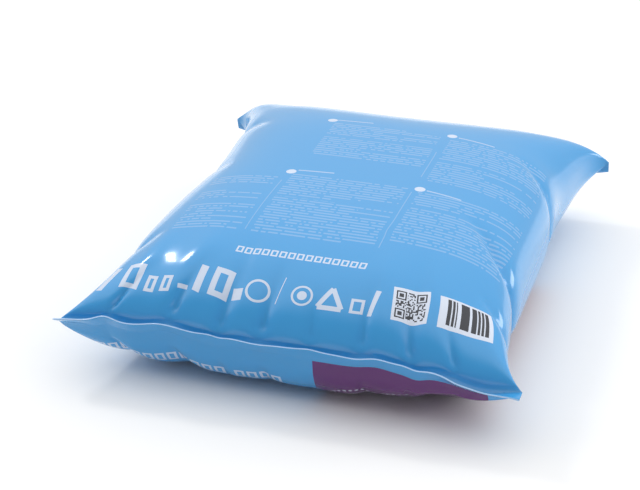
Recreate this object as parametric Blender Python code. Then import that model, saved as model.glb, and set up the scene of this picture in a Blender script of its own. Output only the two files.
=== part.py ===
"""A filled pillow bag of cat litter, lying on its front panel with the bottom weld towards -Y.

The bag is a tube of polyethylene film, pressed flat and welded across both ends. Filled and laid
down it is a pillow: wide and flat at the welds, narrower and round-sided where the litter swells it.
Everything is in metres, with +Z up, +Y along the bag and +X across it. The origin is on the floor,
under the middle of the bag's box.
"""

import math

import bmesh
import bpy
import numpy as np

# Film tube and welds
FILM_WIDTH = 0.400  # the tube pressed flat, and so the length of each weld
WELD_SPACING = 0.448  # from weld to weld along the sides, as the bag lies
FIN_WIDTH = 0.012  # film beyond each weld, pressed into one flat strip
FIN_THICKNESS = 0.0012  # two welded layers of film, with their creases

# Filled body
BAG_THICKNESS = 0.120  # floor to crest
TOP_FULLNESS = 4.2  # higher keeps the top level for longer before it turns down to the welds
TOP_ROUNDING = 0.45
BOTTOM_FULLNESS = 9.0
BOTTOM_ROUNDING = 0.43
CROWN_FULLNESS = 3.75  # the same two values across the bag
CROWN_ROUNDING = 0.375
LEFT_DRAW = 0.98  # how far each side is drawn in, as a share of what the girth calls for
RIGHT_DRAW = 0.84
DRAW_POWER = 1.5  # how much less than its share a thin section draws in
SIDE_HEIGHT = 0.054  # the fold down each side, halfway along
SETTLE = 1.056  # how hard the litter presses the lower panel flat on the floor
FLOOR_PANEL_FULLNESS = 6.1
FLOOR_PANEL_ROUNDING = 0.40
EAR_ROUNDING = 0.33  # near the welds the section thins to a lens, which leaves a flat ear at each corner
EAR_START = 0.75  # share of the half length where that begins

# Welds: height of the middle, and of the two corners
FRONT_WELD_HEIGHT = 0.0487
FRONT_LEFT_HEIGHT = 0.049
FRONT_RIGHT_HEIGHT = 0.0510
BACK_WELD_HEIGHT = 0.0435
BACK_LEFT_HEIGHT = 0.0595
BACK_RIGHT_HEIGHT = 0.0605
FRONT_BOW = 0.001  # how far the middle of the weld is drawn in behind its corners
BACK_BOW = 0.0125
CORNER_POWER = 2.6  # how late along the weld the corners leave its middle height

# Where the front weld is thrown up or down: place across, rise in mm, half width in mm
FRONT_WELD_WAVES = (
    (-0.77, 3.5, 12.0),
    (-0.51, 5.5, 18.0),
    (-0.27, -2.0, 8.0),
    (0.40, 3.0, 14.0),
    (0.57, -3.0, 9.0),
    (0.84, -6.5, 24.0),
)

# Which way the fins point, in degrees above level and outwards from the bag
FRONT_FIN_TILT = 66.0
FRONT_LEFT_TILT = 34.0
FRONT_RIGHT_TILT = 0.0
BACK_FIN_TILT = -55.0
BACK_CORNER_TILT = -72.0

# Mesh
ACROSS = 60  # columns of faces across each panel
ALONG = 44  # rows of faces from weld to weld
FIN_ROWS = 2

# Puckers where the film gathers at the front weld:
# place across (-1 left to 1 right), depth in mm, width in mm, reach up the panel in mm, lean to the right in mm
FRONT_PUCKERS = (
    (-0.78, 5.0, 7.0, 45.0, 16.0),
    (-0.50, 6.0, 9.0, 60.0, 10.0),
    (-0.29, 5.0, 8.0, 50.0, 6.0),
    (-0.10, 6.0, 10.0, 65.0, 8.0),
    (0.12, 3.0, 7.0, 35.0, 0.0),
    (0.34, 5.0, 9.0, 60.0, 10.0),
    (0.55, 5.0, 8.0, 50.0, 4.0),
    (0.74, 3.5, 7.0, 40.0, -4.0),
)
BACK_PUCKERS = (
    (-0.70, 5.0, 9.0, 55.0, 8.0),
    (-0.42, 4.0, 8.0, 45.0, 0.0),
    (-0.12, 5.0, 9.0, 55.0, -4.0),
    (0.20, 4.5, 9.0, 50.0, 2.0),
    (0.47, 5.0, 8.0, 55.0, -6.0),
    (0.74, 4.0, 8.0, 45.0, -8.0),
)
# Buckles that run in over the side folds:
# side (-1 or 1), place along (-1 front to 1 back), depth, width, reach in mm, lean to the back in mm
SIDE_BUCKLES = (
    (1, -0.50, 8.0, 10.0, 85.0, 75.0),
    (1, -0.77, 5.0, 9.0, 40.0, 20.0),
    (1, 0.30, 4.0, 9.0, 60.0, 40.0),
    (-1, -0.70, 5.0, 10.0, 50.0, 20.0),
    (-1, 0.10, 4.0, 10.0, 50.0, -20.0),
    (-1, 0.62, 5.0, 10.0, 60.0, -30.0),
)
# Where each panel swells up or sags away from the even pillow: place across, place along, rise in mm,
# half width in mm
UPPER_SWELLS = (
    (-0.95, 0.95, 3.0, 30.0),
)
LOWER_SWELLS = (
    (0.66, -0.93, 9.0, 40.0),
    (0.88, -0.97, 14.0, 32.0),
)
# Where a side fold stands out or is drawn in: side, place along, way out in mm, half width in mm
SIDE_SWELLS = (
    (1, -0.84, 3.0, 34.0),
    (1, 0.52, -3.0, 40.0),
    (-1, 0.14, -8.0, 75.0),
)
FIN_WAVE = 0.0016  # how far the fins swing to and fro between puckers

MM = 0.001
FILM_BLUE = (0.145, 0.424, 0.768)
FILM_ROUGHNESS = 0.25


def smooth(x):
    """0 below 0, 1 above 1, and an S-curve between."""
    x = np.clip(x, 0.0, 1.0)
    return x * x * (3.0 - 2.0 * x)


def bulge(x, fullness, rounding):
    """1 in the middle of a span and 0 at its two ends, where x is -1 and 1."""
    return np.clip(1.0 - np.abs(x) ** fullness, 0.0, 1.0) ** rounding


def weld_height(across, middle, left, right):
    corner = np.where(across < 0, left, right)
    return middle + (corner - middle) * np.abs(across) ** CORNER_POWER


def mound(offset, half_width):
    """A smooth rise of 1 that fades over half_width, both lengths in metres."""
    return np.exp(-((offset / half_width) ** 2))


def end_heights(across, along):
    front = weld_height(across, FRONT_WELD_HEIGHT, FRONT_LEFT_HEIGHT, FRONT_RIGHT_HEIGHT)
    for place, rise, half_width in FRONT_WELD_WAVES:
        front = front + rise * MM * mound((across - place) * FILM_WIDTH / 2, half_width * MM)
    back = weld_height(across, BACK_WELD_HEIGHT, BACK_LEFT_HEIGHT, BACK_RIGHT_HEIGHT)
    return np.where(along < 0, front, back)


def body_panel(across, along, upper):
    """Points of one panel between the welds. across and along run from -1 to 1."""
    weld = np.where(along < 0, FRONT_WELD_HEIGHT, BACK_WELD_HEIGHT)
    crest = weld + (BAG_THICKNESS - weld) * bulge(along, TOP_FULLNESS, TOP_ROUNDING)
    belly = weld * (1.0 - bulge(along, BOTTOM_FULLNESS, BOTTOM_ROUNDING))
    # What the tube's girth gives to the thickness, it takes from the width, and a thin section takes little.
    thinness = ((crest - belly) / BAG_THICKNESS) ** DRAW_POWER
    drawn_in = (math.pi / 2 - 1) / 2 * BAG_THICKNESS * thinness * np.where(across < 0, LEFT_DRAW, RIGHT_DRAW)
    half_width = FILM_WIDTH / 2 - drawn_in
    for side, place, out, reach in SIDE_SWELLS:
        near = mound((along - place) * WELD_SPACING / 2, reach * MM) * (1.0 - np.abs(along) ** 8)
        half_width = half_width + out * MM * near * (side * across > 0)
    x = across * half_width
    bow = np.where(along < 0, FRONT_BOW, BACK_BOW) * (1.0 - np.abs(across) ** 2.5)
    y = along * WELD_SPACING / 2 - np.sign(along) * bow * np.abs(along) ** 3
    to_end = smooth((np.abs(along) - 0.5) / 0.5)
    fold = SIDE_HEIGHT * (1.0 - to_end) + end_heights(across, along) * to_end
    middle = SIDE_HEIGHT * (1.0 - to_end) + weld * to_end
    ear = smooth((np.abs(along) - EAR_START) / (1.0 - EAR_START))
    half_film = FIN_THICKNESS / 2
    if upper:
        rounding = CROWN_ROUNDING + (EAR_ROUNDING - CROWN_ROUNDING) * ear
        z = fold + (crest - middle) * bulge(across, CROWN_FULLNESS, rounding) + half_film
    else:
        rounding = FLOOR_PANEL_ROUNDING + (EAR_ROUNDING - FLOOR_PANEL_ROUNDING) * ear
        fullness = FLOOR_PANEL_FULLNESS + (CROWN_FULLNESS - FLOOR_PANEL_FULLNESS) * ear
        press = SETTLE + (1.0 - SETTLE) * ear
        z = fold - press * (middle - belly) * bulge(across, fullness, rounding) - half_film
    return np.stack([x, y, z], axis=-1)


def outward(points, across, upper):
    """Unit normals of a grid of points, out of the bag. At the side folds both panels face sideways."""
    normal = np.cross(np.gradient(points, axis=0), np.gradient(points, axis=1))
    normal /= np.maximum(np.linalg.norm(normal, axis=-1, keepdims=True), 1e-12)
    if upper:
        normal = -normal
    sideways = np.zeros_like(points)
    sideways[..., 0] = np.sign(across)
    share = smooth((np.abs(across) - 0.80) / 0.20)[..., None]
    normal = normal * (1.0 - share) + sideways * share
    return normal / np.linalg.norm(normal, axis=-1, keepdims=True)


def pucker_depth(across, from_weld, puckers):
    """How far the film is drawn in by the gathers of one weld, in metres."""
    depth = 0.0
    for place, deep, wide, reach, lean in puckers:
        climb = from_weld / (reach * MM)
        centre = place * FILM_WIDTH / 2 + lean * MM * climb
        spread = wide * MM * (0.6 + climb)
        fade = smooth(1.0 - climb) * smooth(from_weld / (4 * MM))
        depth = depth + deep * MM * fade * mound(across * FILM_WIDTH / 2 - centre, spread)
    return depth


def buckle_depth(across, along):
    """How far the film is drawn in by the buckles over the side folds, in metres."""
    depth = 0.0
    for side, place, deep, wide, reach, lean in SIDE_BUCKLES:
        inwards = (1.0 - side * across) * FILM_WIDTH / 2
        climb = inwards / (reach * MM)
        centre = place * WELD_SPACING / 2 + lean * MM * climb
        spread = wide * MM * (0.7 + 0.6 * climb)
        fade = smooth(1.0 - climb)
        depth = depth + deep * MM * fade * mound(along * WELD_SPACING / 2 - centre, spread)
    return depth


def gathered_panel(across, along, upper):
    """The panel with its puckers and buckles, pressed flat where it meets the floor."""
    points = body_panel(across, along, upper)
    from_front = (1.0 + along) * WELD_SPACING / 2
    from_back = (1.0 - along) * WELD_SPACING / 2
    share = 1.0 if upper else 0.5
    depth = share * pucker_depth(across, from_front, FRONT_PUCKERS)
    depth = depth + share * pucker_depth(across, from_back, BACK_PUCKERS)
    depth = depth + buckle_depth(across, along)
    depth = np.where(np.abs(along) > 0.999, 0.0, depth)
    for place_across, place_along, rise, half_width in UPPER_SWELLS if upper else LOWER_SWELLS:
        gap = np.hypot((across - place_across) * FILM_WIDTH / 2, (along - place_along) * WELD_SPACING / 2)
        inside = (1.0 - np.abs(across) ** 16) * (1.0 - np.abs(along) ** 40)
        points[..., 2] += rise * MM * mound(gap, half_width * MM) * inside
    points = points - outward(points, across, upper) * depth[..., None]
    points[..., 2] = np.maximum(points[..., 2], 0.0)
    return points


def fin_panel(weld_row, across, end, upper):
    """Rows of one face of a fin, from just past the weld to the cut edge. end is -1 or 1."""
    corner = np.abs(across) ** 4
    if end < 0:
        corner_tilt = np.where(across < 0, FRONT_LEFT_TILT, FRONT_RIGHT_TILT)
        tilt = FRONT_FIN_TILT + (corner_tilt - FRONT_FIN_TILT) * corner
        puckers = FRONT_PUCKERS
    else:
        tilt = BACK_FIN_TILT + (BACK_CORNER_TILT - BACK_FIN_TILT) * corner
        puckers = BACK_PUCKERS
    swing = 0.0
    for index, pucker in enumerate(puckers):
        away = (across - pucker[0]) * FILM_WIDTH / 2
        swing = swing + (-1) ** index * mound(away, 1.5 * pucker[2] * MM)
    tilt = np.radians(tilt)
    outwards = np.stack([0.0 * across, end * np.cos(tilt), np.sin(tilt)], axis=-1)
    face = np.stack([0.0 * across, -end * np.sin(tilt), np.cos(tilt)], axis=-1)
    half = FIN_THICKNESS / 2 * (1.0 if upper else -1.0)
    rows = []
    for step in range(1, FIN_ROWS + 1):
        share = step / FIN_ROWS
        centre = weld_row + outwards * (FIN_WIDTH * share) + face * (FIN_WAVE * share * swing)[..., None]
        rows.append(centre + face * half)
    return rows


def panel_rows(upper):
    """The whole grid of one face of the bag: front fin, body, back fin."""
    across_steps = np.sin(np.linspace(-1.0, 1.0, ACROSS + 1) * math.pi / 2)
    spread = np.linspace(-1.0, 1.0, ALONG + 1)
    along_steps = 0.35 * spread + 0.65 * np.sin(spread * math.pi / 2)
    along, across = np.meshgrid(along_steps, across_steps, indexing="ij")
    body = gathered_panel(across, along, upper)
    middle = (gathered_panel(across, along, True) + gathered_panel(across, along, False)) / 2
    front = fin_panel(middle[0], across_steps, -1, upper)
    back = fin_panel(middle[-1], across_steps, 1, upper)
    return np.array(front[::-1] + list(body) + back)


def build_bag():
    upper = panel_rows(True)
    lower = panel_rows(False)
    box = np.concatenate([upper.reshape(-1, 3), lower.reshape(-1, 3)])
    shift = (box.min(axis=0) + box.max(axis=0)) / 2
    shift[2] = 0.0
    mesh = bmesh.new()
    grids = []
    for grid in (upper - shift, lower - shift):
        grids.append([[mesh.verts.new(point) for point in row] for row in grid])
    top, bottom = grids
    rows, columns = len(top), len(top[0])
    for i in range(rows - 1):
        for j in range(columns - 1):
            mesh.faces.new((top[i][j], top[i][j + 1], top[i + 1][j + 1], top[i + 1][j]))
            mesh.faces.new((bottom[i][j], bottom[i + 1][j], bottom[i + 1][j + 1], bottom[i][j + 1]))
        mesh.faces.new((top[i][0], top[i + 1][0], bottom[i + 1][0], bottom[i][0]))
        mesh.faces.new((top[i][-1], bottom[i][-1], bottom[i + 1][-1], top[i + 1][-1]))
    for j in range(columns - 1):
        mesh.faces.new((top[0][j], bottom[0][j], bottom[0][j + 1], top[0][j + 1]))
        mesh.faces.new((top[-1][j], top[-1][j + 1], bottom[-1][j + 1], bottom[-1][j]))
    flat = [face for face in mesh.faces if max(vertex.co.z for vertex in face.verts) < 1e-6]
    bmesh.ops.dissolve_faces(mesh, faces=flat, use_verts=True)
    bmesh.ops.recalc_face_normals(mesh, faces=mesh.faces)
    data = bpy.data.meshes.new("litter_bag")
    mesh.to_mesh(data)
    mesh.free()
    data.shade_smooth()
    data.set_sharp_from_angle(angle=math.radians(50))
    bag = bpy.data.objects.new("litter_bag", data)
    bpy.context.scene.collection.objects.link(bag)
    return bag


def film_material():
    material = bpy.data.materials.new("printed film")
    material.use_nodes = True
    shader = material.node_tree.nodes["Principled BSDF"]
    shader.inputs["Base Color"].default_value = (*FILM_BLUE, 1.0)
    shader.inputs["Roughness"].default_value = FILM_ROUGHNESS
    shader.inputs["Metallic"].default_value = 0.0
    return material


for old in list(bpy.data.objects):
    bpy.data.objects.remove(old, do_unlink=True)
litter_bag = build_bag()
litter_bag.data.materials.append(film_material())
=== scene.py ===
# %% [markdown]
# # A filled film bag of cat litter
#
# The object is one thing: a tube of thin printed film, welded shut at both ends and filled with loose
# litter. It lies on its front panel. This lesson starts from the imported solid, sets up the view, and then
# makes the film itself: its swollen shape, the puckers along the weld, the flat strip past the weld, the
# ink and the shine.

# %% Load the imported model
import math

import bmesh
import bpy
import numpy as np
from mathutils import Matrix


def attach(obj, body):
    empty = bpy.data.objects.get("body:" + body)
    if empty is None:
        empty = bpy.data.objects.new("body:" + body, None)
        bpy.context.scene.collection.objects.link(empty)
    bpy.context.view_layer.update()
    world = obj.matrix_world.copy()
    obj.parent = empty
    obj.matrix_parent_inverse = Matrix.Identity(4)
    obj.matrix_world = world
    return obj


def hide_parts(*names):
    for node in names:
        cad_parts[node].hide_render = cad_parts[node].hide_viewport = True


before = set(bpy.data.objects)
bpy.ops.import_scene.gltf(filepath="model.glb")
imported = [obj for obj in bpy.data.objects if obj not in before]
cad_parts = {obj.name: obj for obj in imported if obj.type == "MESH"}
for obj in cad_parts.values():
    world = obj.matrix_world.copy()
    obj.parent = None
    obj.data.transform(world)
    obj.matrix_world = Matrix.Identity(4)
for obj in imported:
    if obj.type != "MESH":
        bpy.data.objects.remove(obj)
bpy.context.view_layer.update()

# %% [markdown]
# ## The view
#
# The photograph looks down on the bag from the front, a little from its left. A long lens a metre and a
# half away keeps the sides almost parallel. The camera is placed by two angles and a distance from the
# point it looks at, which is easier to tune than three coordinates.

# %% Camera
IMAGE_WIDTH = 640
FOCAL_PIXELS = 1667.0
SENSOR_MM = 36.0
VIEW_AZIMUTH = math.radians(17.36)
VIEW_ELEVATION = math.radians(26.42)
VIEW_DISTANCE = 1.545
LOOK_AT = np.array([-0.0298, -0.0182, 0.05])


def place_camera():
    azimuth, elevation = VIEW_AZIMUTH, VIEW_ELEVATION
    forward = np.array(
        [-math.sin(azimuth) * math.cos(elevation), math.cos(azimuth) * math.cos(elevation), -math.sin(elevation)]
    )
    data = bpy.data.cameras.new("camera")
    data.sensor_width = SENSOR_MM
    data.lens = FOCAL_PIXELS / IMAGE_WIDTH * SENSOR_MM
    camera = bpy.data.objects.new("camera", data)
    camera.location = LOOK_AT - forward * VIEW_DISTANCE
    camera.rotation_euler = (math.pi / 2 - elevation, 0.0, azimuth)
    bpy.context.scene.collection.objects.link(camera)
    bpy.context.scene.camera = camera
    return camera


camera = place_camera()
print("camera at", [round(value, 3) for value in camera.location], "lens", round(camera.data.lens, 1), "mm")

# %% [markdown]
# ## Colours and nodes
#
# Colours are written as the hex values that a paint program shows, and one function turns them into the
# linear values that shaders use. One more function adds a node, with its settings and its links, so that
# each material below reads as a list of steps.

# %% Helpers for colour and nodes
MM = 0.001
COLOUR_SOCKETS = (6, 7)  # the Mix node's two colours, which share their names with its other sockets
COLOUR_RESULT = 2


def linear(hex_colour):
    """The linear colour of an sRGB hex value, with alpha."""
    channels = [int(hex_colour[i : i + 2], 16) / 255 for i in (1, 3, 5)]
    return tuple(c / 12.92 if c <= 0.04045 else ((c + 0.055) / 1.055) ** 2.4 for c in channels) + (1.0,)


def add(tree, kind, settings=None, out=0, **links):
    """A new shader node's output, or several. settings are its sockets or properties, and links what feeds it."""
    node = tree.nodes.new("ShaderNode" + kind)
    for name, value in (settings or {}).items():
        if isinstance(name, int) or name in node.inputs:
            node.inputs[name].default_value = value
        else:
            setattr(node, name, value)
    for name, source in links.items():
        socket = node.inputs[int(name[1:])] if name[0] == "_" else node.inputs[name]
        tree.links.new(source, socket)
    if isinstance(out, tuple):
        return [node.outputs[name] for name in out]
    return node.outputs[out]


# %% [markdown]
# ## Floor and light
#
# The bag lies on a pale floor in a bright room. The world's wide bright ceiling gives the even daylight of a studio,
# and two small lamps give the film something to mirror: film is seen by its reflections as much as by its
# ink. The floor is a plain matt white.

# %% Floor
FLOOR_SIDE = 12.0


def make_floor():
    bpy.ops.object.select_all(action="DESELECT")
    bpy.ops.mesh.primitive_plane_add(size=FLOOR_SIDE, location=(0.0, 0.0, -0.0004))
    floor = bpy.context.object
    floor.name = "floor"
    material = bpy.data.materials.new("matt white floor")
    material.use_nodes = True
    shader = material.node_tree.nodes["Principled BSDF"]
    shader.inputs["Base Color"].default_value = linear("#f4f4f4")
    shader.inputs["Roughness"].default_value = 0.9
    shader.inputs["Specular IOR Level"].default_value = 0.1
    floor.data.materials.append(material)
    return floor


floor = make_floor()
print("floor", FLOOR_SIDE, "m wide")

# %% Lamps and sky
# Angles in degrees from the horizon behind the bag, over the top of the room, to the camera's side
WALL_STRENGTH = 0.72
CEILING_STRENGTH = 1.42
CEILING_FROM, CEILING_AT = 0.0, 75.0
FRONT_FROM, FRONT_AT = 102.0, 142.0
FRONT_SHARE = 0.25
# Name: place, point it faces, width, height, power in watts
LAMPS = {
    "right card": ((1.8, 0.9, 0.45), (0.15, 0.0, 0.08), 0.9, 0.6, 8.0),
    "left key": ((-1.6, 0.9, 1.9), (0.0, -0.1, 0.05), 0.35, 0.35, 10.0),
}


def add_lamp(name, place, towards, width, height, power):
    data = bpy.data.lights.new(name, "AREA")
    data.shape = "RECTANGLE"
    data.size = width
    data.size_y = height
    data.energy = power
    lamp = bpy.data.objects.new(name, data)
    lamp.location = place
    direction = np.array(towards) - np.array(place)
    side = math.hypot(direction[0], direction[1])
    lamp.rotation_euler = (math.atan2(side, -direction[2]), 0.0, math.atan2(-direction[0], direction[1]))
    bpy.context.scene.collection.objects.link(lamp)
    return lamp


def make_sky():
    """A room with a white wall behind the bag and a wide bright ceiling that ends above the camera."""
    sky = bpy.data.worlds.new("studio room")
    sky.use_nodes = True
    tree = sky.node_tree
    back, up = add(tree, "SeparateXYZ", out=("Y", "Z"), _0=add(tree, "TexCoord", out="Generated"))
    angle = add(tree, "Math", {"operation": "ARCTAN2"}, _0=up, _1=back)
    rise = {"interpolation_type": "SMOOTHSTEP", 3: WALL_STRENGTH, 4: CEILING_STRENGTH}
    rise.update({1: math.radians(CEILING_FROM), 2: math.radians(CEILING_AT)})
    fall = {"interpolation_type": "SMOOTHSTEP", 3: 1.0, 4: FRONT_SHARE}
    fall.update({1: math.radians(FRONT_FROM), 2: math.radians(FRONT_AT)})
    rising, falling = (add(tree, "MapRange", settings, _0=angle) for settings in (rise, fall))
    strength = add(tree, "Math", {"operation": "MULTIPLY"}, _0=rising, _1=falling)
    tree.links.new(strength, tree.nodes["Background"].inputs["Strength"])
    tree.nodes["Background"].inputs["Color"].default_value = linear("#ffffff")
    bpy.context.scene.world = sky


for name, values in LAMPS.items():
    add_lamp(name, *values)
make_sky()
bpy.context.scene.view_settings.view_transform = "Standard"
print(len(LAMPS), "lamps")

# %% [markdown]
# ## The shape of a filled bag
#
# Pressed flat, the tube is a rectangle. Filled, it is a pillow: the welds stay as wide as the flat tube,
# and between them the sides are drawn in, because the film that goes round the litter is no longer there
# to give width. So each panel is a sheet of points with two coordinates, *across* and *along*, both from
# -1 to 1, and a few formulas say where each point goes. These are the same sizes as the solid's.

# %% Sizes of the pillow
FILM_WIDTH = 0.400
WELD_SPACING = 0.448
FIN_WIDTH = 0.012
FIN_THICKNESS = 0.0012
BAG_THICKNESS = 0.120
SIDE_HEIGHT = 0.054
FRONT_WELD = {"middle": 0.0487, "left": 0.049, "right": 0.0510, "bow": 0.001}
BACK_WELD = {"middle": 0.0435, "left": 0.0595, "right": 0.0605, "bow": 0.0125}
CORNER_POWER = 2.6
TOP = (4.2, 0.45)
BELLY = (9.0, 0.43)
CROWN = (3.75, 0.375)
FLOOR_PANEL = (6.1, 0.40)
SETTLE = 1.056
EAR_ROUNDING = 0.33
EAR_START = 0.75
LEFT_DRAW = 0.98
RIGHT_DRAW = 0.84
DRAW_POWER = 1.5
# Place across, rise in mm, half width in mm
WELD_WAVES = (
    (-0.77, 3.5, 12.0),
    (-0.51, 5.5, 18.0),
    (-0.27, -2.0, 8.0),
    (0.40, 3.0, 14.0),
    (0.57, -3.0, 9.0),
    (0.84, -6.5, 24.0),
)
# Place across, place along, rise in mm, half width in mm
UPPER_SWELLS = ((-0.95, 0.95, 3.0, 30.0),)
LOWER_SWELLS = ((0.66, -0.93, 9.0, 40.0), (0.88, -0.97, 14.0, 32.0))
# Side, place along, way out in mm, half width in mm
SIDE_SWELLS = ((1, -0.84, 3.0, 34.0), (1, 0.52, -3.0, 40.0), (-1, 0.14, -8.0, 75.0))

# %% Formulas of the pillow


def smooth(x):
    """0 below 0, 1 above 1, and an S-curve between."""
    x = np.clip(x, 0.0, 1.0)
    return x * x * (3.0 - 2.0 * x)


def bulge(x, fullness, rounding):
    """1 in the middle of a span and 0 at its two ends, where x is -1 and 1."""
    return np.clip(1.0 - np.abs(x) ** fullness, 0.0, 1.0) ** rounding


def mound(offset, half_width):
    return np.exp(-((offset / half_width) ** 2))


def weld_line(across, weld):
    corner = np.where(across < 0, weld["left"], weld["right"])
    height = weld["middle"] + (corner - weld["middle"]) * np.abs(across) ** CORNER_POWER
    if weld is FRONT_WELD:
        for place, rise, half_width in WELD_WAVES:
            height = height + rise * MM * mound((across - place) * FILM_WIDTH / 2, half_width * MM)
    return height


def pillow(across, along, upper):
    """Points of one panel between the welds, before its puckers."""
    front = along < 0
    weld = np.where(front, FRONT_WELD["middle"], BACK_WELD["middle"])
    crest = weld + (BAG_THICKNESS - weld) * bulge(along, *TOP)
    belly = weld * (1.0 - bulge(along, *BELLY))
    thinness = ((crest - belly) / BAG_THICKNESS) ** DRAW_POWER
    drawn_in = (math.pi / 2 - 1) / 2 * BAG_THICKNESS * thinness * np.where(across < 0, LEFT_DRAW, RIGHT_DRAW)
    half_width = FILM_WIDTH / 2 - drawn_in
    for side, place, out, reach in SIDE_SWELLS:
        near = mound((along - place) * WELD_SPACING / 2, reach * MM) * (1.0 - np.abs(along) ** 8)
        half_width = half_width + out * MM * near * (side * across > 0)
    x = across * half_width
    bow = np.where(front, FRONT_WELD["bow"], BACK_WELD["bow"]) * (1.0 - np.abs(across) ** 2.5)
    y = along * WELD_SPACING / 2 - np.sign(along) * bow * np.abs(along) ** 3
    to_end = smooth((np.abs(along) - 0.5) / 0.5)
    line = np.where(front, weld_line(across, FRONT_WELD), weld_line(across, BACK_WELD))
    fold = SIDE_HEIGHT * (1.0 - to_end) + line * to_end
    middle = SIDE_HEIGHT * (1.0 - to_end) + weld * to_end
    ear = smooth((np.abs(along) - EAR_START) / (1.0 - EAR_START))
    fullness, rounding = CROWN if upper else FLOOR_PANEL
    fullness = fullness + (CROWN[0] - fullness) * ear
    rounding = rounding + (EAR_ROUNDING - rounding) * ear
    if upper:
        z = fold + (crest - middle) * bulge(across, fullness, rounding) + FIN_THICKNESS / 2
    else:
        press = SETTLE + (1.0 - SETTLE) * ear
        z = fold - press * (middle - belly) * bulge(across, fullness, rounding) - FIN_THICKNESS / 2
    return np.stack([x, y, z], axis=-1)


# %% [markdown]
# ## Puckers and buckles
#
# A weld can't stretch or shrink, so the film behind it has to gather as the bag swells. Each gather is a
# valley that starts at the weld and widens and fades as it climbs. The sides buckle too, because the film
# along them is longer than the straight way between the corners. A valley in film has a sharp bottom, so
# its profile is a soft cusp and not a bell.

# %% Valleys in the film
# Place across, depth, width, reach and lean to the right in mm
FRONT_PUCKERS = (
    (-0.78, 5.0, 7.0, 45.0, 16.0),
    (-0.50, 6.0, 9.0, 60.0, 10.0),
    (-0.29, 5.0, 8.0, 50.0, 6.0),
    (-0.10, 6.0, 10.0, 65.0, 8.0),
    (0.12, 3.0, 7.0, 35.0, 0.0),
    (0.34, 5.0, 9.0, 60.0, 10.0),
    (0.55, 5.0, 8.0, 50.0, 4.0),
    (0.74, 3.5, 7.0, 40.0, -4.0),
)
BACK_PUCKERS = (
    (-0.70, 5.0, 9.0, 55.0, 8.0),
    (-0.42, 4.0, 8.0, 45.0, 0.0),
    (-0.12, 5.0, 9.0, 55.0, -4.0),
    (0.20, 4.5, 9.0, 50.0, 2.0),
    (0.47, 5.0, 8.0, 55.0, -6.0),
    (0.74, 4.0, 8.0, 45.0, -8.0),
)
# Side, place along, depth, width, reach and lean to the back in mm
SIDE_BUCKLES = (
    (1, -0.50, 8.0, 10.0, 85.0, 75.0),
    (1, -0.77, 5.0, 9.0, 40.0, 20.0),
    (1, 0.30, 4.0, 9.0, 60.0, 40.0),
    (-1, -0.70, 5.0, 10.0, 50.0, 20.0),
    (-1, 0.10, 4.0, 10.0, 50.0, -20.0),
    (-1, 0.62, 5.0, 10.0, 60.0, -30.0),
)
CUSP = 0.35  # how far a valley's bottom is rounded, as a share of its half width


def valley(offset, half_width):
    """1 at the bottom of a valley, with steep sides that ease out."""
    return np.exp(CUSP - np.sqrt((offset / half_width) ** 2 + CUSP**2))


def pucker_depth(across, from_weld, puckers):
    depth = 0.0
    for place, deep, wide, reach, lean in puckers:
        climb = from_weld / (reach * MM)
        centre = place * FILM_WIDTH / 2 + lean * MM * climb
        fade = smooth(1.0 - climb) * smooth(from_weld / (4 * MM))
        depth = depth + deep * MM * fade * valley(across * FILM_WIDTH / 2 - centre, wide * MM * (0.4 + climb))
    return depth


def buckle_depth(across, along):
    depth = 0.0
    for side, place, deep, wide, reach, lean in SIDE_BUCKLES:
        inwards = (1.0 - side * across) * FILM_WIDTH / 2
        climb = inwards / (reach * MM)
        centre = place * WELD_SPACING / 2 + lean * MM * climb
        fade = smooth(1.0 - climb)
        depth = depth + deep * MM * fade * valley(along * WELD_SPACING / 2 - centre, wide * MM * (0.6 + 0.5 * climb))
    return depth


def outward(points, across, upper):
    """Unit normals of a sheet of points, out of the bag, turned sideways at the side folds."""
    normal = np.cross(np.gradient(points, axis=0), np.gradient(points, axis=1))
    normal /= np.maximum(np.linalg.norm(normal, axis=-1, keepdims=True), 1e-12)
    if upper:
        normal = -normal
    sideways = np.zeros_like(points)
    sideways[..., 0] = np.sign(across)
    share = smooth((np.abs(across) - 0.80) / 0.20)[..., None]
    normal = normal * (1.0 - share) + sideways * share
    return normal / np.linalg.norm(normal, axis=-1, keepdims=True)


def panel(across, along, upper):
    """One panel with its valleys, pressed flat where it meets the floor."""
    points = pillow(across, along, upper)
    share = 1.0 if upper else 0.5
    depth = share * pucker_depth(across, (1.0 + along) * WELD_SPACING / 2, FRONT_PUCKERS)
    depth = depth + share * pucker_depth(across, (1.0 - along) * WELD_SPACING / 2, BACK_PUCKERS)
    depth = depth + buckle_depth(across, along)
    depth = np.where(np.abs(along) > 0.999, 0.0, depth)
    for place_across, place_along, rise, half_width in UPPER_SWELLS if upper else LOWER_SWELLS:
        gap = np.hypot((across - place_across) * FILM_WIDTH / 2, (along - place_along) * WELD_SPACING / 2)
        inside = (1.0 - np.abs(across) ** 16) * (1.0 - np.abs(along) ** 40)
        points[..., 2] += rise * MM * mound(gap, half_width * MM) * inside
    points = points - outward(points, across, upper) * depth[..., None]
    points[..., 2] = np.maximum(points[..., 2], 0.0)
    return points


# %% [markdown]
# ## The strip past the weld
#
# Past each weld the two layers go on as one flat strip, the fin. The front fin stands up along the middle
# and lies flatter towards the corners. The back one hangs down. It swings a little to and fro, because the
# puckers pull it.

# %% Fins
FRONT_TILT = {"middle": 66.0, "left": 34.0, "right": 0.0}
BACK_TILT = {"middle": -55.0, "left": -72.0, "right": -72.0}
FIN_WAVE = 0.0016
FIN_ROWS = 6


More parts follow.
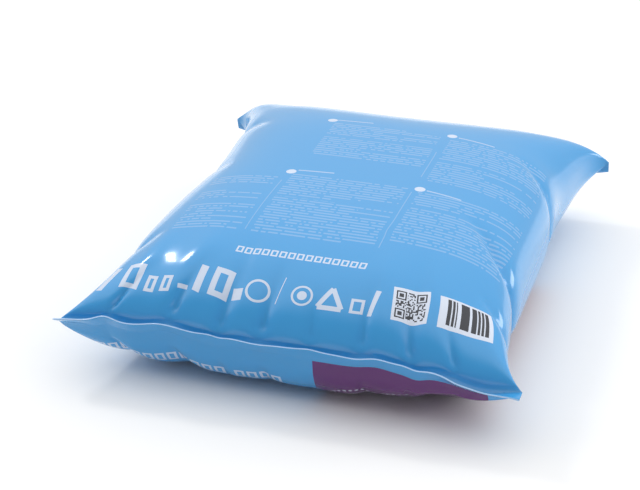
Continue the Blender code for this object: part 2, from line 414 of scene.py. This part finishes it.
def fin(weld_row, across, end, upper):
    """Rows of one face of a fin, from the weld to the cut edge. end is -1 in front and 1 at the back."""
    tilts = FRONT_TILT if end < 0 else BACK_TILT
    puckers = FRONT_PUCKERS if end < 0 else BACK_PUCKERS
    corner = np.where(across < 0, tilts["left"], tilts["right"])
    tilt = np.radians(tilts["middle"] + (corner - tilts["middle"]) * np.abs(across) ** 4)
    swing = 0.0
    for index, pucker in enumerate(puckers):
        away = (across - pucker[0]) * FILM_WIDTH / 2
        swing = swing + (-1) ** index * mound(away, 1.5 * pucker[2] * MM)
    outwards = np.stack([0.0 * across, end * np.cos(tilt), np.sin(tilt)], axis=-1)
    face = np.stack([0.0 * across, -end * np.sin(tilt), np.cos(tilt)], axis=-1)
    half = FIN_THICKNESS / 2 * (1.0 if upper else -1.0)
    rows = []
    for step in range(1, FIN_ROWS + 1):
        share = step / FIN_ROWS
        centre = weld_row + outwards * (FIN_WIDTH * share) + face * (FIN_WAVE * share * swing)[..., None]
        rows.append(centre + face * half)
    return rows


# %% [markdown]
# ## From formulas to a mesh
#
# The rows lie closer together near the welds, where the film folds finely. Every point also keeps where it
# lies on the flat film, in millimetres: that is the sheet the printer printed, so the ink is drawn there
# later and follows every fold.

# %% Two sheets of points
ACROSS = 240
ALONG = 190


def sheet_rows(upper):
    across_steps = np.sin(np.linspace(-1.0, 1.0, ACROSS + 1) * math.pi / 2)
    spread = np.linspace(-1.0, 1.0, ALONG + 1)
    along_steps = 0.35 * spread + 0.65 * np.sin(spread * math.pi / 2)
    along, across = np.meshgrid(along_steps, across_steps, indexing="ij")
    body = panel(across, along, upper)
    welds = (panel(across, along, True)[[0, -1]] + panel(across, along, False)[[0, -1]]) / 2
    front = fin(welds[0], across_steps, -1, upper)
    back = fin(welds[1], across_steps, 1, upper)
    return np.array(front[::-1] + list(body) + back)


def film_places(rows):
    """Where each point lies on the flat film in mm: across from the middle, along from the front weld."""
    steps = np.linalg.norm(np.diff(rows, axis=1), axis=-1)
    run = np.concatenate([np.zeros((len(rows), 1)), np.cumsum(steps, axis=1)], axis=1)
    middle = rows.shape[1] // 2
    run = run - run[:, middle : middle + 1]
    run = np.where(run < 0, run / -run[:, :1], run / run[:, -1:]) * FILM_WIDTH / 2 / MM
    climb = np.linalg.norm(np.diff(rows[:, middle], axis=0), axis=-1)
    climb = np.concatenate([[0.0], np.cumsum(climb)]) / MM
    climb = climb - climb[FIN_ROWS]
    return np.stack([run, np.broadcast_to(climb[:, None], run.shape), 0.0 * run], axis=-1)


upper_rows = sheet_rows(True)
lower_rows = sheet_rows(False)
both = np.concatenate([upper_rows.reshape(-1, 3), lower_rows.reshape(-1, 3)])
shift = (both.min(axis=0) + both.max(axis=0)) / 2
shift[2] = 0.0
upper_rows = upper_rows - shift
lower_rows = lower_rows - shift
print("film length in mm:", round(film_places(upper_rows)[-1, 0, 1]), "above,",
      round(film_places(lower_rows)[-1, 0, 1]), "below")

# %% The film as one closed mesh
BACK_PANEL, FRONT_PANEL, CUT_EDGE = range(3)


def make_bag():
    mesh = bmesh.new()
    place = mesh.verts.layers.float_vector.new("film_mm")
    grids = []
    for rows in (upper_rows, lower_rows):
        grid = []
        for points, places in zip(rows, film_places(rows)):
            grid.append([mesh.verts.new(point) for point in points])
            for vertex, value in zip(grid[-1], places):
                vertex[place] = value
        grids.append(grid)
    top, bottom = grids

    def face(corners, finish):
        mesh.faces.new(corners).material_index = finish

    rows, columns = len(top), len(top[0])
    for i in range(rows - 1):
        for j in range(columns - 1):
            face((top[i][j], top[i][j + 1], top[i + 1][j + 1], top[i + 1][j]), BACK_PANEL)
            face((bottom[i][j], bottom[i + 1][j], bottom[i + 1][j + 1], bottom[i][j + 1]), FRONT_PANEL)
        face((top[i][0], top[i + 1][0], bottom[i + 1][0], bottom[i][0]), BACK_PANEL)
        face((top[i][-1], bottom[i][-1], bottom[i + 1][-1], top[i + 1][-1]), BACK_PANEL)
    for j in range(columns - 1):
        face((top[0][j], bottom[0][j], bottom[0][j + 1], top[0][j + 1]), CUT_EDGE)
        face((top[-1][j], top[-1][j + 1], bottom[-1][j + 1], bottom[-1][j]), CUT_EDGE)
    bmesh.ops.recalc_face_normals(mesh, faces=mesh.faces)
    data = bpy.data.meshes.new("film_bag")
    mesh.to_mesh(data)
    mesh.free()
    data.shade_smooth()
    bag = bpy.data.objects.new("film_bag", data)
    bpy.context.scene.collection.objects.link(bag)
    return bag


bag = make_bag()
print("bag:", len(bag.data.polygons), "faces")

# %% [markdown]
# ## Shapes in ink
#
# The print is drawn by the material, on the flat film's own millimetres, so each shape is given where it
# lies on the sheet and follows every fold. A shape is a mask, 1 inside and 0 outside, made of a few Math
# nodes: *Compare* alone says whether a point lies within half a width of a middle. Masks are merged, and
# one mix then lays their ink over what is printed already, as a press lays one ink at a time.

# %% The sheet and its shapes


class Sheet:
    """The flat film as one material sees it: its millimetres across and along, straight or turned."""

    def __init__(self, tree):
        self.tree = tree
        self.film = add(tree, "Attribute", {"attribute_name": "film_mm"}, out="Vector")
        self.made = {}

    def axes(self, turn=0.0):
        if turn not in self.made:
            turned = add(self.tree, "Mapping", {"Rotation": (0.0, 0.0, math.radians(-turn))}, Vector=self.film)
            self.made[turn] = add(self.tree, "SeparateXYZ", out=("X", "Y"), _0=turned)
        return self.made[turn]


def block(tree, axes, centre, size):
    across, along = (
        add(tree, "Math", {"operation": "COMPARE", 1: middle, 2: extent / 2}, _0=axis)
        for axis, middle, extent in zip(axes, centre, size)
    )
    return add(tree, "Math", {"operation": "MULTIPLY"}, _0=across, _1=along)


def oval(tree, axes, centre, size):
    squares = []
    for axis, middle, extent in zip(axes, centre, size):
        share = {"operation": "MULTIPLY_ADD", 1: 2 / extent, 2: -2 * middle / extent}
        share = add(tree, "Math", share, _0=axis)
        squares.append(add(tree, "Math", {"operation": "MULTIPLY"}, _0=share, _1=share))
    reach = add(tree, "Math", {"operation": "ADD"}, _0=squares[0], _1=squares[1])
    return add(tree, "Math", {"operation": "LESS_THAN", 1: 1.0}, _0=reach)


def drawn(tree, axes, shape, centre, size, stroke=0.0):
    """A filled shape, or only its outline where a stroke is given."""
    mask = shape(tree, axes, centre, size)
    if stroke:
        inner = shape(tree, axes, centre, (size[0] - 2 * stroke, size[1] - 2 * stroke))
        mask = add(tree, "Math", {"operation": "SUBTRACT"}, _0=mask, _1=inner)
    return mask


def placed(sheet, shape, centre, size, turn=0.0, stroke=0.0):
    """A shape at its place on the sheet, turned about its own middle by some degrees."""
    angle = math.radians(turn)
    middle = (
        centre[0] * math.cos(angle) + centre[1] * math.sin(angle),
        centre[1] * math.cos(angle) - centre[0] * math.sin(angle),
    )
    return drawn(sheet.tree, sheet.axes(turn), shape, middle, size, stroke)


def merged(tree, masks, operation="MAXIMUM"):
    whole = masks[0]
    for mask in masks[1:]:
        whole = add(tree, "Math", {"operation": operation}, _0=whole, _1=mask)
    return whole


def inked(tree, ground, masks, colour, strength=1.0):
    """The ground colour with ink over it inside the masks."""
    cover = add(tree, "Math", {"operation": "MULTIPLY", 1: strength}, _0=merged(tree, masks))
    below, above = COLOUR_SOCKETS
    links = {"_0": cover, f"_{below}": ground}
    return add(tree, "Mix", {"data_type": "RGBA", above: colour}, out=COLOUR_RESULT, **links)


# %% [markdown]
# ## Rows of dashes, bars and cells
#
# The back of such a bag is covered in small type. Here it is only a texture: rows of dashes of uneven
# length. White noise gives each step along each row a number, and the low ones become gaps. The same noise
# makes a panel of upright bars and a panel of square cells, which stand for a till's marks and mean nothing.

# %% Patterns from white noise
ROW_PITCH = 4.7
DASH_HEIGHT = 0.46
DASH_STEP = 2.2
GAP_SHARE = 0.17
BAR_STEP = 1.05
CELL_SIDE = 1.2


def steps(tree, axis, size, start=0.0):
    """Whole numbers that go up by one every so many millimetres."""
    scaled = add(tree, "Math", {"operation": "MULTIPLY_ADD", 1: 1 / size, 2: -start / size}, _0=axis)
    return add(tree, "Math", {"operation": "FLOOR"}, _0=scaled)


def often(tree, share, across, along=None, seed=0.0):
    """1 in that share of the cells that two rows of steps make."""
    links = {"X": across} if along is None else {"X": across, "Y": along}
    cell = add(tree, "CombineXYZ", {"Z": seed}, **links)
    value = add(tree, "TexWhiteNoise", {"noise_dimensions": "3D"}, out="Value", Vector=cell)
    return add(tree, "Math", {"operation": "LESS_THAN", 1: share}, _0=value)


def type_lines(sheet, lanes):
    """Rows of dashes inside the blocks of each lane, with a ragged right edge."""
    tree = sheet.tree
    x, y = sheet.axes()
    row = steps(tree, y, ROW_PITCH)
    in_row = add(tree, "Math", {"operation": "MULTIPLY", 1: 1 / ROW_PITCH}, _0=y)
    in_row = add(tree, "Math", {"operation": "FRACT"}, _0=in_row)
    stripe = add(tree, "Math", {"operation": "LESS_THAN", 1: DASH_HEIGHT}, _0=in_row)
    dash = often(tree, 1.0 - GAP_SHARE, steps(tree, x, DASH_STEP), row)
    areas = []
    for seed, (left, width, blocks) in enumerate(lanes):
        columns = [
            block(tree, (x, y), (left + width / 2, (bottom + top) / 2), (width, top - bottom))
            for bottom, top in blocks
        ]
        line = add(tree, "CombineXYZ", {"X": seed + 0.5}, Y=row)
        length = add(tree, "TexWhiteNoise", {"noise_dimensions": "3D"}, out="Value", Vector=line)
        end = add(tree, "MapRange", {1: 0.0, 2: 0.3, 3: left + 0.4 * width, 4: left + width}, _0=length)
        within = add(tree, "Math", {"operation": "LESS_THAN"}, _0=x, _1=end)
        areas.append(merged(tree, [merged(tree, columns), within], "MULTIPLY"))
    return merged(tree, [merged(tree, areas), stripe, dash], "MULTIPLY")


# %% [markdown]
# ## Printed film
#
# Polyethylene film, blown and then printed: the ink lies on it in flat colours, and the film's own skin is
# smooth and glossy. It is a dielectric with an IOR of about 1.5, and a fine unevenness of the skin blurs
# what it mirrors. Its outer skin is a thin clear coat over that, which keeps a few reflections sharp.
# Both panels are sky blue, and the front one has a wide plum field.

# %% Film and its inks
FILM_IOR = 1.5
FILM_ROUGHNESS = 0.16
SKY_BLUE = linear("#3998d6")
PLUM = linear("#581868")
WHITE_INK = linear("#d3dcec")
BLACK_INK = linear("#141a28")


def film_material(name, roughness=FILM_ROUGHNESS):
    material = bpy.data.materials.new(name)
    material.use_nodes = True
    shader = material.node_tree.nodes["Principled BSDF"]
    shader.inputs["Roughness"].default_value = roughness
    shader.inputs["IOR"].default_value = FILM_IOR
    shader.inputs["Coat Weight"].default_value = 0.35
    shader.inputs["Coat Roughness"].default_value = 0.05
    return material


# %% Ink on the back panel
# Left and width of each lane of type, and the bottom and top of its blocks
LANES = (
    (-128.0, 62.0, ((117.5, 164.5), (174.0, 190.0), (204.5, 223.0))),
    (-55.0, 107.0, ((117.5, 184.0), (188.0, 235.0), (282.0, 326.0), (331.0, 366.0))),
    (62.0, 98.0, ((131.5, 197.0), (202.0, 228.5), (254.0, 298.0), (305.0, 355.0))),
)
LINES = (((56.5, 172.0), (0.9, 108.0)), ((56.5, 290.0), (0.9, 60.0)), ((-60.5, 168.0), (0.9, 98.0)))
TYPE_STRENGTH = 0.2
# Middle, length and turn of the four short headings, and the middles of the discs beside them
HEADINGS = (
    ((-36.0, 242.5), 34.0, 4.0),
    ((84.0, 231.0), 32.0, -8.0),
    ((-38.0, 374.5), 38.0, 4.0),
    ((86.0, 361.5), 36.0, -8.0),
)
DISCS = ((-58.5, 237.0), (62.0, 234.0), (-59.5, 371.5), (61.5, 366.0))
# Shape, middle, size, turn and stroke
LARGE_SHAPES = (
    (block, (-164.0, 56.0), (7.0, 29.0), -22.0),
    (block, (-139.5, 53.0), (17.0, 27.0), -8.0, 5.0),
    (block, (-121.5, 46.0), (9.0, 16.0), -8.0, 3.0),
    (block, (-107.5, 45.5), (9.0, 16.0), -8.0, 3.0),
    (block, (-93.0, 42.5), (8.5, 4.2)),
    (block, (-79.0, 54.0), (6.5, 26.0), -8.0),
    (block, (-60.5, 54.0), (17.0, 27.0), -8.0, 5.0),
    (block, (-45.0, 47.0), (9.0, 11.0)),
    (oval, (-28.0, 51.5), (21.0, 21.0), 0.0, 2.2),
    (block, (-9.0, 55.0), (0.8, 26.0), -8.0),
    (oval, (10.0, 52.5), (18.0, 18.0), 0.0, 1.8),
    (oval, (10.0, 52.5), (8.0, 8.0)),
    (block, (34.0, 45.0), (20.0, 4.0)),
    (block, (29.0, 54.0), (20.0, 4.0), 60.0),
    (block, (39.0, 54.0), (20.0, 4.0), -60.0),
    (block, (56.0, 50.0), (11.0, 13.0), 0.0, 2.4),
    (block, (69.0, 54.0), (4.5, 24.0), -8.0),
)
CELLS_MIDDLE, CELLS_TURN, CELLS_ACROSS = (98.5, 60.5), 8.0, 21
BARS_MIDDLE, BARS_TURN = (144.5, 65.5), 9.0


def run_of_squares(sheet, first, last, along, pitch, size, stroke):
    """Hollow squares, a pitch apart, in one row. One square is drawn, on an axis that starts again and again."""
    tree = sheet.tree
    x, y = sheet.axes()
    again = add(tree, "Math", {"operation": "WRAP", 1: first + pitch, 2: first}, _0=x)
    square = drawn(tree, (again, y), block, (first + pitch / 2, along), size, stroke)
    row = block(tree, (x, y), ((first + last) / 2, along), (last - first, 2 * size[1]))
    return merged(tree, [square, row], "MULTIPLY")


def cell_panel(sheet, colour):
    """A white square of black cells, with a plain hollow square in three of its corners."""
    tree = sheet.tree
    side = CELLS_ACROSS * CELL_SIDE
    white = placed(sheet, block, CELLS_MIDDLE, (side + 5.0, side + 6.0), CELLS_TURN)
    colour = inked(tree, colour, [white], WHITE_INK)
    x, y = sheet.axes(CELLS_TURN)
    dark = often(tree, 0.5, steps(tree, x, CELL_SIDE), steps(tree, y, CELL_SIDE), 7.5)
    inside = placed(sheet, block, CELLS_MIDDLE, (side, side), CELLS_TURN)
    colour = inked(tree, colour, [merged(tree, [dark, inside], "MULTIPLY")], BLACK_INK)
    turn = math.radians(CELLS_TURN)
    reach = (CELLS_ACROSS - 7) / 2 * CELL_SIDE
    for across, along in ((-reach, reach), (reach, reach), (-reach, -reach)):
        corner = (
            CELLS_MIDDLE[0] + across * math.cos(turn) - along * math.sin(turn),
            CELLS_MIDDLE[1] + across * math.sin(turn) + along * math.cos(turn),
        )
        for cells, ink in ((8.6, WHITE_INK), (7, BLACK_INK), (5, WHITE_INK), (3, BLACK_INK)):
            square = placed(sheet, block, corner, (cells * CELL_SIDE, cells * CELL_SIDE), CELLS_TURN)
            colour = inked(tree, colour, [square], ink)
    return colour


def bar_panel(sheet, colour):
    tree = sheet.tree
    colour = inked(tree, colour, [placed(sheet, block, BARS_MIDDLE, (46.0, 31.0), BARS_TURN)], WHITE_INK)
    x, y = sheet.axes(BARS_TURN)
    dark = often(tree, 0.56, steps(tree, x, BAR_STEP), None, 3.5)
    place = (BARS_MIDDLE[0] + 1.5, BARS_MIDDLE[1] + 1.5)
    inside = placed(sheet, block, place, (37.0, 25.0), BARS_TURN)
    return inked(tree, colour, [merged(tree, [dark, inside], "MULTIPLY")], BLACK_INK)


def back_panel_ink(sheet):
    """Faint columns of dashes, a row of plain shapes, and two white panels, one of cells and one of bars."""
    tree = sheet.tree
    ground = add(tree, "RGB")
    ground.default_value = SKY_BLUE
    faint = [type_lines(sheet, LANES)] + [placed(sheet, block, *line) for line in LINES]
    colour = inked(tree, ground, faint, WHITE_INK, TYPE_STRENGTH)
    bold = [placed(sheet, block, middle, (length, 2.0), turn) for middle, length, turn in HEADINGS]
    colour = inked(tree, colour, bold, WHITE_INK, 0.5)
    bold = [placed(sheet, oval, middle, (9.5, 9.5)) for middle in DISCS]
    bold += [placed(sheet, *shape) for shape in LARGE_SHAPES]
    bold.append(run_of_squares(sheet, -59.0, 55.0, 91.5, 7.6, (6.0, 7.4), 1.5))
    colour = inked(tree, colour, bold, WHITE_INK, 0.88)
    return bar_panel(sheet, cell_panel(sheet, colour))


# %% Ink on the front panel
PLUM_FIELD = (26.0, 172.0)
PLUM_HEIGHT = 300.0
RING_MIDDLES = ((56.0, 56.0), (98.0, 58.0))
RING_DIAMETER = 35.0
DASH_RING = 25.0


def front_panel_ink(sheet):
    """A plum field on the right, two runs of hollow squares, and two large rings inside rings of dashes."""
    tree = sheet.tree
    ground = add(tree, "RGB")
    ground.default_value = SKY_BLUE
    left, right = PLUM_FIELD
    field = placed(sheet, block, ((left + right) / 2, PLUM_HEIGHT / 2), (right - left, PLUM_HEIGHT))
    colour = inked(tree, ground, [field], PLUM)
    shapes = [
        run_of_squares(sheet, -171.0, -52.2, 30.5, 10.8, (8.4, 12.6), 2.2),
        run_of_squares(sheet, -45.0, -1.8, 30.5, 10.8, (8.4, 12.6), 2.2),
    ]
    for middle in RING_MIDDLES:
        shapes.append(placed(sheet, oval, middle, (RING_DIAMETER, RING_DIAMETER), 0.0, 2.0))
        for step in range(-4, 5):
            angle = math.radians(-90.0 + 12.0 * step)
            place = (middle[0] + DASH_RING * math.cos(angle), middle[1] + DASH_RING * math.sin(angle))
            shapes.append(placed(sheet, oval, place, (3.2, 3.2)))
    return inked(tree, colour, shapes, WHITE_INK, 0.8)


# %% The three finishes of the bag


def finished(name, ink):
    """A film material whose colour is what the ink function draws."""
    material = film_material(name)
    tree = material.node_tree
    tree.links.new(ink(Sheet(tree)), tree.nodes["Principled BSDF"].inputs["Base Color"])
    return material


def make_cut_edge():
    """Where the two melted layers are cut through, their clear film shows pale."""
    material = film_material("cut edge of polyethylene film", 0.35)
    material.node_tree.nodes["Principled BSDF"].inputs["Base Color"].default_value = linear("#a9cdf2")
    return material


bag.data.materials.append(finished("printed polyethylene film, back panel", back_panel_ink))
bag.data.materials.append(finished("printed polyethylene film, front panel", front_panel_ink))
bag.data.materials.append(make_cut_edge())
for material in bag.data.materials:
    print(material.name, "has", len(material.node_tree.nodes), "nodes")

# %% Attach the bag to the frame
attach(bag, "root")
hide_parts("litter_bag")
